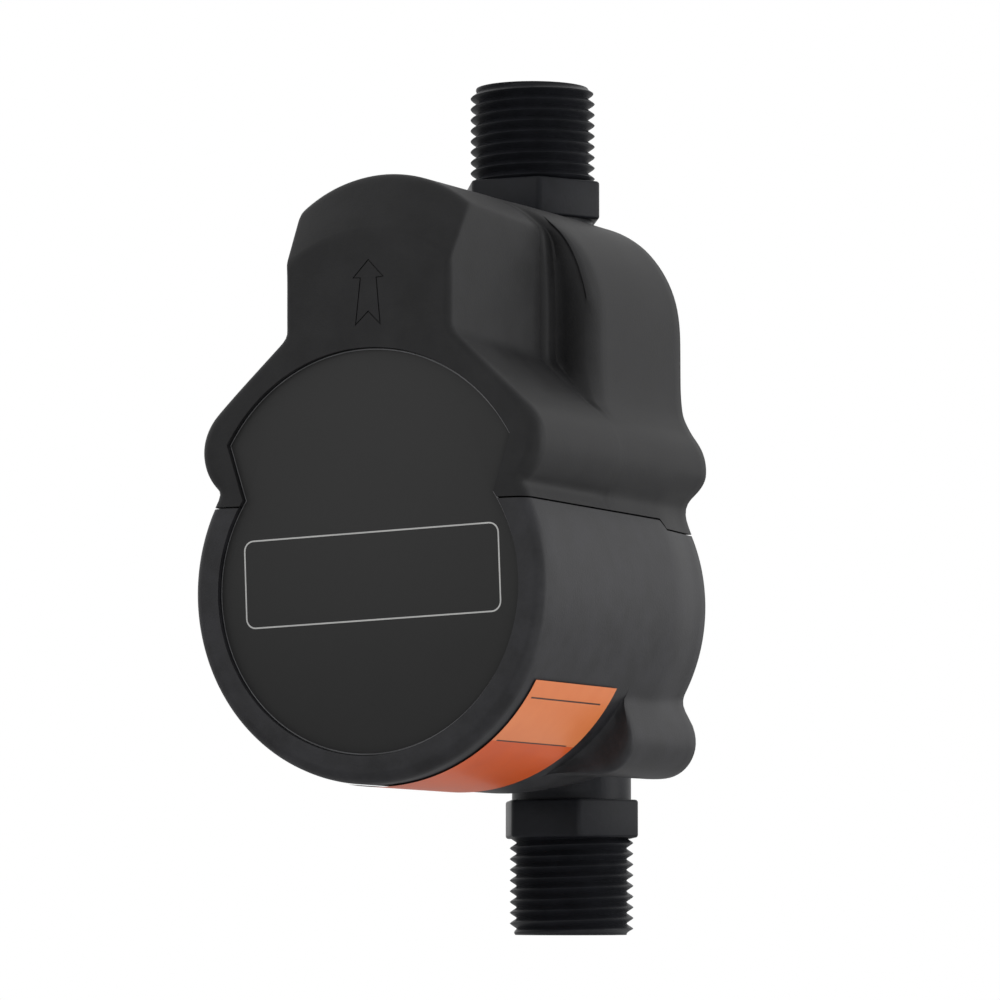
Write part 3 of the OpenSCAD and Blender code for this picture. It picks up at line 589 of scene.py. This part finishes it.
def plate_outline(grow=0.0):
    """The label plate's outline: a circle, and above its notches a wider arc."""
    r, top_r = PLATE_R + grow, PLATE_TOP_R + grow
    notch = math.degrees(math.asin(NOTCH_RISE / r))
    corner = math.degrees(math.acos((PLATE_TOP_HALF + grow) / top_r))
    return (arc(0, AXIS_H, r, notch, -180 - notch, 90)
            + arc(0, AXIS_H + PLATE_TOP_RISE, top_r, 180 - corner, corner, 45))


def recess():
    """What the casings leave free for the label plate."""
    return loose(prism(plate_outline(RECESS_GAP), FRONT_Y - 1, RECESS_Y))


def below_seam(lift=0.0):
    """A block under the seam, which steps down towards the back."""
    seam = AXIS_H + SEAM_RISE + lift
    front, back, low = FRONT_Y - 5, BACK_Y + 5, -10
    outline = [(front, low), (back, low), (back, seam - SEAM_STEP),
               (BACK_Y - SEAM_STEP_LEN + SEAM_STEP, seam - SEAM_STEP),
               (BACK_Y - SEAM_STEP_LEN, seam), (front, seam)]
    bm = bmesh.new()
    face = bm.faces.new([bm.verts.new((-BLOCK_HALF, y, z)) for y, z in outline])
    thicken(bm, [face], (2 * BLOCK_HALF, 0, 0))
    return loose(bm)


def hollows():
    """The spaces inside the upper casing: the neck's, and the hood's, which is open behind."""
    neck_top, neck_half = arc(0, 94.5, 21.1, 90, 54.7, 12), 12.2
    hood_top, hood_half = arc(*HOOD_CORNER[:2], 16.1, 90, 0, 16), 22.6
    neck_end, hood_start = -41, -41.5
    spaces = []
    for top, half, low, high in ((neck_top, neck_half, FRONT_Y + FRONT_WALL, neck_end),
                                 (hood_top, hood_half, hood_start, BACK_Y + 1)):
        start = math.degrees(math.acos(half / INNER_R))
        right = top + arc(0, AXIS_H, INNER_R, start, -88, 60)
        left = [(-x, z) for x, z in right[::-1] if x > 0.01]
        spaces.append(loose(prism(right + left, low, high)))
    return spaces


def arrow_cutter():
    """A narrow ring in the arrow's outline, which engraves it on the neck."""
    tip = AXIS_H + 52.4
    stand_off, depth, width = 0.5, 0.75, 0.18
    bm = bmesh.new()
    face = bm.faces.new([bm.verts.new((x, FRONT_Y - stand_off, tip - z)) for x, z in (
        (0.25, 0), (3.1, 3), (1.75, 3.1), (2.5, 10.7), (0.25, 8.5), (-2.1, 10.7), (-1.25, 3.1),
        (-2.6, 3))])
    face.normal_update()
    bmesh.ops.inset_region(bm, faces=[face], thickness=width, use_boundary=True,
                           use_even_offset=True)
    bmesh.ops.delete(bm, geom=[max(bm.faces, key=lambda f: f.calc_area())], context="FACES")
    thicken(bm, bm.faces[:], (0, depth, 0))
    return loose(bm)


def outlet_room():
    """Round room for the outlet pipe, and the slot that it slides in by from behind."""
    gap, low, high = 0.2, 76, 140
    slot_size, slot_z = (20.6, 30.8, 60), 100
    pipe, slot = bmesh.new(), bmesh.new()
    post(pipe, PIPE_R + gap, low, high, OUTLET_Y)
    bmesh.ops.create_cube(slot, size=1.0, matrix=Matrix.Translation((0, 0, slot_z))
                          @ Matrix.Diagonal((*slot_size, 1)))
    return [loose(pipe), loose(slot)]


def ear_room():
    """Room for the rear cover's two upper ears."""
    return [rod(EAR_R, EAR_Y, BACK_Y + 1, side * BOSS[0] * reach, AXIS_H + BOSS[1] * reach)
            for side in (1, -1) for reach in (1, 0.9)]


upper = skin(len(UPPER_ROWS) - 1, 2 * HALF, upper_place)
cut(upper, [below_seam()] + hollows() + [recess()] + outlet_room() + [arrow_cutter()])
cut(upper, ear_room())
dress(to_metres(upper), "upper_shell", "casing_plastic", casing,
      stands_for=("upper_casing",), smooth=32)

LOW_COLS = 320
# The straight sides between the drum and a lobe, across and up from the axis
LOBE_SIDES = (((26.46, -16.53), (BOSS[0] + LOBE_R, -BOSS[1])),
              ((BOSS[0], -BOSS[1] - LOBE_R), (12.69, -28.5)))
# The lobes' front: where it starts, how deep its rows reach, and where those rows end on the
# plain drum, which they are spread along
LOBE_Y, LOBE_ROWS_LEN, PLAIN_END_Y = -38.2, 2.2, -35.0


def lobed():
    """The lower casing's outline by polar angle: the drum, with a lobe at each lower corner."""
    outline = []
    for k in range(LOW_COLS):
        a = math.radians(90 - 360 * k / LOW_COLS)
        ux, uz = abs(math.cos(a)), math.sin(a)
        r = DRUM_R
        along = ux * BOSS[0] - uz * BOSS[1]
        off = abs(ux * BOSS[1] + uz * BOSS[0])
        if along > 0 and off < LOBE_R:
            r = max(r, along + math.sqrt(LOBE_R ** 2 - off ** 2))
        for p, q in LOBE_SIDES:
            ex, ez = q[0] - p[0], q[1] - p[1]
            cross = ux * ez - uz * ex
            if abs(cross) > 1e-6:
                reach = (p[0] * ez - p[1] * ex) / cross
                share = (p[0] * uz - p[1] * ux) / cross
                if reach > 0 and 0 <= share <= 1:
                    r = max(r, reach)
        outline.append((r * math.cos(a), r * math.sin(a)))
    return eased(outline, times=5, closed_loop=True)


LOBED = lobed()
# Each row's kind and its angle, depth or inset; a lobe's row also has how far the lobe is out
LOW_ROWS = ([("edge", a) for a in EDGE_ANGLES]
            + [("side", y) for y in (-72, -66, -60, -54, -48, -43, -39.5, LOBE_Y)]
            + [("lobe", y, out) for out, y in (
                (0.03, -37.75), (0.1, -37.5), (0.3, -37.4), (0.6, -37.4), (0.8, -37.38),
                (0.9, -37.2), (0.96, -36.9), (0.99, -36.5), (1.0, -36.0))]
            + [("full", y) for y in (-33, -30, -27, -25, -22, -18, -14, -11.4)]
            + [("back", inset) for inset in BACK_INSETS])


def lower_place(u, v):
    kind, value, *out = LOW_ROWS[round(v * (len(LOW_ROWS) - 1))]
    x, z = LOBED[round(u * LOW_COLS) % LOW_COLS]
    r = math.hypot(x, z)
    drum = DRUM_R - LOW_INSET
    full = max(r - LOW_INSET, drum)
    # The rear taper fades out on the lobes
    share = mix(1.0, 0.1, ramp(r - DRUM_R, 0.5, 3.5))
    size, y = drum, value
    if kind == "edge":
        a = math.radians(value)
        size = drum - LOW_EDGE_R * (1 - math.sin(a))
        y = FRONT_Y + LOW_EDGE_R * (1 - math.cos(a))
    elif kind == "lobe":
        size = mix(drum, full, *out)
        if r - DRUM_R < 0.3:
            y = mix(LOBE_Y, PLAIN_END_Y, (value - LOBE_Y) / LOBE_ROWS_LEN)
    elif kind == "full":
        size = full - share * taper_at(value)
    elif kind == "back":
        size, y = full - share * TAPER_DEPTH - value, back_y(value)
    return Vector((x / r * size, y, AXIS_H + z / r * size))


lower = skin(len(LOW_ROWS) - 1, LOW_COLS, lower_place)
cut(lower, [below_seam(-SEAM_GAP)], "INTERSECT")
cut(lower, [rod(INNER_R, FRONT_Y + FRONT_WALL, BACK_Y + 1), recess()]
    + [rod(LOBE_R - LOBE_WALL, POCKET_Y, BACK_Y + 1, side * BOSS[0], AXIS_H - BOSS[1])
       for side in (1, -1)])
dress(to_metres(lower), "lower_shell", "casing_plastic", casing_low,
      stands_for=("lower_casing",), smooth=32)

plate = prism(plate_outline(), PLATE_Y, RECESS_Y)
rim = [e for e in plate.edges if all(abs(v.co.y - PLATE_Y) < 0.01 for v in e.verts)]
edge = bmesh.ops.bevel(plate, geom=rim, offset=PLATE_EDGE, segments=2, profile=0.5,
                       affect="EDGES", material=-1)
# The bevelled rim takes the lighter grey material, a painted highlight along the plate's edge
for f in edge["faces"]:
    f.material_index = 1
piece(plate, "label_plate", "plate_film", film, film_rim_highlight, stands_for=("front_plate",))


def printed_frame():
    """The line round the plate's bare panel, two degrees off level as it was stuck on."""
    size, corner_r, width, turn = (45.2, 1, 14.2), 1.7, 0.24, -2.2
    middle = (0.5, PLATE_Y - 0.02, AXIS_H + 1.9)
    bm = bmesh.new()
    bmesh.ops.create_grid(bm, x_segments=1, y_segments=1, size=0.5,
                          matrix=Matrix.Rotation(math.pi / 2, 4, "X"))
    bmesh.ops.scale(bm, vec=size, verts=bm.verts)
    bmesh.ops.bevel(bm, geom=bm.verts[:], offset=corner_r, segments=6, profile=0.5,
                    affect="VERTICES", material=-1)
    bmesh.ops.inset_region(bm, faces=bm.faces[:], thickness=width, use_boundary=True,
                           use_even_offset=True)
    bmesh.ops.delete(bm, geom=[max(bm.faces, key=lambda f: f.calc_area())], context="FACES")
    bmesh.ops.rotate(bm, cent=(0, 0, 0), verts=bm.verts,
                     matrix=Matrix.Rotation(math.radians(turn), 3, "Y"))
    bmesh.ops.translate(bm, vec=middle, verts=bm.verts)
    return bm


piece(printed_frame(), "printed_frame", "plate_film", ink)


def wrapped(bm, start, end, low, high, lift):
    """A patch on the drum between two angles and two depths, lifted off its skin."""
    def place(u, v):
        a = math.radians(mix(start, end, u))
        r = DRUM_R + lift
        return Vector((r * math.cos(a), mix(low, high, v), AXIS_H + r * math.sin(a)))

    sheet(bm, 12, max(2, round(abs(end - start) / 1.5)), place)


seal = bmesh.new()
wrapped(seal, SEAL_START, SEAL_END, SEAL_LOW, SEAL_HIGH, SEAL_LIFT)
bmesh.ops.recalc_face_normals(seal, faces=seal.faces)
for f in seal.faces:
    middle = f.calc_center_median()
    angle = math.degrees(math.atan2(middle.z - AXIS_H, middle.x))
    f.material_index = int(angle < BLOCK_START)
piece(seal, "seal_film", "seal_foil", sticker, sticker_dark, stands_for=("seal_label",))
seal_lines = bmesh.new()
for angle in LINE_ANGLES:
    wrapped(seal_lines, angle, angle - LINE_WIDTH, LINE_LOW, LINE_HIGH, LINE_LIFT)
weld(seal_lines)
piece(seal_lines, "seal_frame_line", "seal_foil", print_line)


def cut_level(bm, height, **clear):
    """Cuts a bmesh level and clears one side."""
    bmesh.ops.bisect_plane(bm, geom=bm.verts[:] + bm.edges[:] + bm.faces[:],
                           plane_co=(0, 0, height), plane_no=(0, 0, 1), **clear)


def thread(bm):
    """A helical pipe thread of full length, cut square at both ends."""
    spare_turns, rows_per_turn = 1.2, 10
    lead_in, lead_len = 0.25, 1.3

    def place(u, v):
        turns = mix(-spare_turns, CRESTS + spare_turns, v)
        height = (turns + u) * PITCH
        tooth = (0.5 - abs(turns % 1.0 - 0.5)) / 0.5 * (1 + CREST_FLAT) - CREST_FLAT / 2
        tooth = min(1.0, max(0.0, tooth))
        end = min(1.0, max(0.0, (height + lead_in) / lead_len))
        r = THREAD_R - THREAD_DEPTH * (1 - tooth * end)
        a = 2 * math.pi * u
        return Vector((r * math.cos(a), r * math.sin(a), height))

    sheet(bm, round((CRESTS + 2 * spare_turns) * rows_per_turn), 96, place)
    bmesh.ops.remove_doubles(bm, verts=bm.verts, dist=WELD)
    cut_level(bm, 0.0, clear_inner=True)
    cut_level(bm, THREAD_LEN + 0.3, clear_outer=True)


def mouth(bm):
    """Carries the thread's end inward, point by point, and down the bore."""
    step = [e for e in bm.edges if e.is_boundary and all(v.co.z < 0.01 for v in e.verts)]
    for r, height in ((BORE_R + MOUTH_CHAMFER, 0.0), (BORE_R, MOUTH_CHAMFER),
                      (BORE_R, BORE_DEPTH)):
        made = bmesh.ops.extrude_edge_only(bm, edges=step)["geom"]
        verts = points_of(made)
        for v in verts:
            a = math.atan2(v.co.y, v.co.x)
            v.co = Vector((r * math.cos(a), r * math.sin(a), height))
        step = [g for g in made if isinstance(g, bmesh.types.BMEdge)
                and all(v in verts for v in g.verts)]


def hexagon(bm):
    """The hexagon behind the thread, a flat to the front, its corners and rims rounded."""
    def rise(e):
        return abs(e.verts[0].co.z - e.verts[1].co.z)

    def rounded(edges, offset):
        return bmesh.ops.bevel(bm, geom=edges, offset=offset, segments=3, profile=0.5,
                               affect="EDGES", material=-1)["faces"]

    corner_r = HEX_FLATS / math.cos(math.pi / 6) / 2
    corner_round, rim_round = 0.7, 0.45
    nut = bmesh.ops.create_cone(bm, cap_ends=True, segments=6, radius1=corner_r,
                                radius2=corner_r, depth=HEX_H,
                                matrix=Matrix.Translation((0, 0, THREAD_LEN + HEX_H / 2))
                                @ Matrix.Rotation(math.pi / 6, 4, "Z"))["verts"]
    around = {e for v in nut for e in v.link_edges}
    made = rounded([e for e in around if rise(e) > 1], corner_round)
    ends = {v for f in made for v in f.verts} | {v for v in nut if v.is_valid}
    rounded([e for e in {e for v in ends for e in v.link_edges}
             if rise(e) < 0.01 and e.calc_face_angle(0) > 1], rim_round)


def port_end(y, upside_down):
    """A threaded end with its hexagon and the start of its pipe, put at its port."""
    bm = bmesh.new()
    thread(bm)
    mouth(bm)
    hexagon(bm)
    post(bm, PIPE_R, PIPE_START, PIPE_END)
    if upside_down:
        bmesh.ops.rotate(bm, cent=(0, 0, 0), verts=bm.verts,
                         matrix=Matrix.Rotation(math.pi, 3, "X"))
        bmesh.ops.translate(bm, vec=(0, 0, SPAN), verts=bm.verts)
    bmesh.ops.translate(bm, vec=(0, y, 0), verts=bm.verts)
    bmesh.ops.recalc_face_normals(bm, faces=bm.faces)
    return bm


def from_node(name, height, **clear):
    """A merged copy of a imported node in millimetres, cut level."""
    bm = bmesh.new()
    bm.from_mesh(nodes[name].data)
    bmesh.ops.scale(bm, vec=(1000, 1000, 1000), verts=bm.verts)
    bmesh.ops.remove_doubles(bm, verts=bm.verts, dist=0.001)
    # Fewer flat faces, so that the node's long thin triangles don't show as streaks
    bmesh.ops.dissolve_limit(bm, angle_limit=math.radians(0.4), use_dissolve_boundaries=False,
                             verts=bm.verts[:], edges=bm.edges[:])
    cut_level(bm, height, **clear)
    return bm


def joined(*parts):
    """Several bmeshes put together in one."""
    whole = bmesh.new()
    for bm in parts:
        mesh = bpy.data.meshes.new("part")
        bm.to_mesh(mesh)
        bm.free()
        whole.from_mesh(mesh)
        bpy.data.meshes.remove(mesh)
    return whole


piece(joined(from_node("pump_body", SPAN - NODE_CUT, clear_outer=True),
             port_end(OUTLET_Y, True)),
      "outlet_body", "head_plastic", nylon, stands_for=("pump_body",), smooth=30)
piece(joined(from_node("suction_cover", NODE_CUT, clear_inner=True),
             port_end(0, False)),
      "inlet_elbow", "head_plastic", nylon, stands_for=("suction_cover",), smooth=30)

FINISH = {
    "rear_cover": casing, "cover_oring": rubber, "can_oring": rubber, "separating_can": ppo,
    "ceramic_shaft": ceramic, "front_thrust_washer": ceramic, "rear_thrust_washer": ceramic,
    "front_bush": graphite, "rear_bush": graphite, "rotor_hub": white,
    "rotor_magnet": ferrite, "impeller": white, "stator_core": steel_sheet,
    "slot_insulators": white, "stator_coils": enamelled, "winding_board": board,
    "motor_leads": pvc, "control_board": board, "lead_socket": white, "capacitors": sleeve,
    "power_transistors": resin, "choke": wound_core, "control_chip": resin,
    "reed_switch": glass, "flow_float": white, "float_magnet": ferrite,
    "float_stop": stainless, "cable_gland": rubber, "casing_screws": stainless,
    "cover_screws": stainless, "can_screws": stainless, "board_screws": stainless}
for name, material in FINISH.items():
    slots = nodes[name].data.materials
    slots.clear()
    slots.append(material)


def paper():
    """Pale paper for the floor, faintly uneven."""
    material, tree, shader, mm = finish("pale_paper")
    fibres = add(tree, "ShaderNodeTexNoise", {"Vector": mm}, Scale=0.02, Detail=2.0)
    tree.links.new(blend(tree, fibres.outputs["Fac"], "#f4f4f4", "#ffffff"),
                   shader.inputs["Base Color"])
    shader.inputs["Roughness"].default_value = 0.9
    return material


floor_mesh = bmesh.new()
bmesh.ops.create_grid(floor_mesh, x_segments=1, y_segments=1, size=6,
                      matrix=Matrix.Translation((0, 0, FLOOR_Z)))
floor = linked(floor_mesh, "floor")
floor.data.materials.append(paper())

# The world is white where it is seen directly, in a reflection or through something, and
# dimmer as a light
world = bpy.data.worlds.new("studio")
scene.world = world
world.use_nodes = True
tree = world.node_tree
tree.nodes.clear()
path = add(tree, "ShaderNodeLightPath").outputs
direct = add(tree, "ShaderNodeMath", {0: path["Is Camera Ray"], 1: path["Is Glossy Ray"]},
             operation="MAXIMUM")
seen = add(tree, "ShaderNodeMath", {0: direct.outputs[0], 1: path["Is Transmission Ray"]},
           operation="MAXIMUM")
strength = add(tree, "ShaderNodeMapRange", {"Value": seen.outputs[0]}, To_Min=0.45, To_Max=1.0)
background = add(tree, "ShaderNodeBackground", {"Strength": strength.outputs["Result"]},
                 Color=(1, 1, 1, 1))
add(tree, "ShaderNodeOutputWorld", {"Surface": background.outputs["Background"]})

# Soft white panels: each one's place and size in metres, and its power in watts
for name, place, size, power in (("key", (0.75, 0.25, -0.02), (0.5, 0.9), 4.0),
                                 ("front_fill", (-0.35, -0.9, 0.4), (0.6, 0.6), 1.2),
                                 ("low_fill", (0.45, -0.45, -0.13), (0.5, 0.3), 0.9)):
    light = bpy.data.lights.new(name, "AREA")
    light.shape = "RECTANGLE"
    light.size, light.size_y = size
    light.energy = power
    lamp = bpy.data.objects.new(name, light)
    scene.collection.objects.link(lamp)
    lamp.location = place
    look(lamp, LAMP_AIM)

scene.view_settings.view_transform = "Standard"
